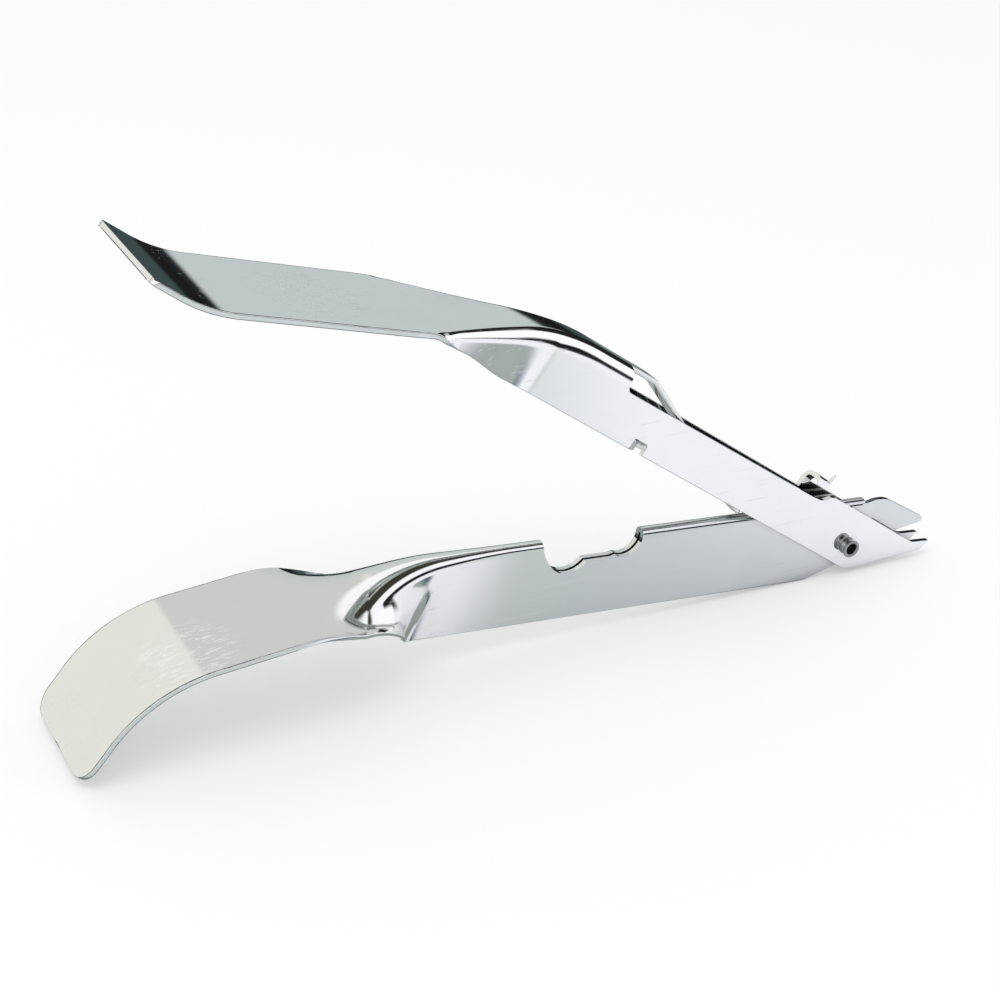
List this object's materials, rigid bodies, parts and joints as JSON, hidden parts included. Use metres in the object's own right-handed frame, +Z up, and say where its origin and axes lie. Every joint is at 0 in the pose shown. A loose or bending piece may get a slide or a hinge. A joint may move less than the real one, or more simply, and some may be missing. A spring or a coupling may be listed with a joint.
{
  "type": "plier type staple remover",
  "caption": "Hand staple remover of folded sheet metal: two levers on a hollow pivot pin, thumb and finger plates, twin tines and a beak blade, with a leaf tongue that holds it open.",
  "frame": {"origin": "on the ground plane, under the middle of the bounding box, with the tool standing open on its finger lever", "axes": "+X forward to the jaws, +Y across the levers to their far side, +Z up"},
  "size_m": [0.1304, 0.018, 0.0636],
  "materials": {
    "thumb_lever_steel": "bright polished stainless sheet",
    "finger_lever_steel": "bright polished stainless sheet, lightly brushed by use",
    "tongue_steel": "polished spring strip with rubbed edges",
    "pin_steel": "satin drawn tube"
  },
  "bodies": {
    "finger_body": {"finger_lever": "finger_lever_steel"},
    "thumb_body": {"thumb_lever": "thumb_lever_steel", "return_tongue": "tongue_steel", "pivot_pin": "pin_steel"}
  },
  "joints": [
    {"name": "pivot", "type": "hinge", "parent": "finger_body", "child": "thumb_body", "pos_m": [0.04985, 0, 0.00489], "axis": [0, -1, 0], "range_deg": [0, 24], "stiffness_Nm_per_rad": 0.35, "springref_deg": -14.32, "deforming": ["return_tongue"]}
  ]
}
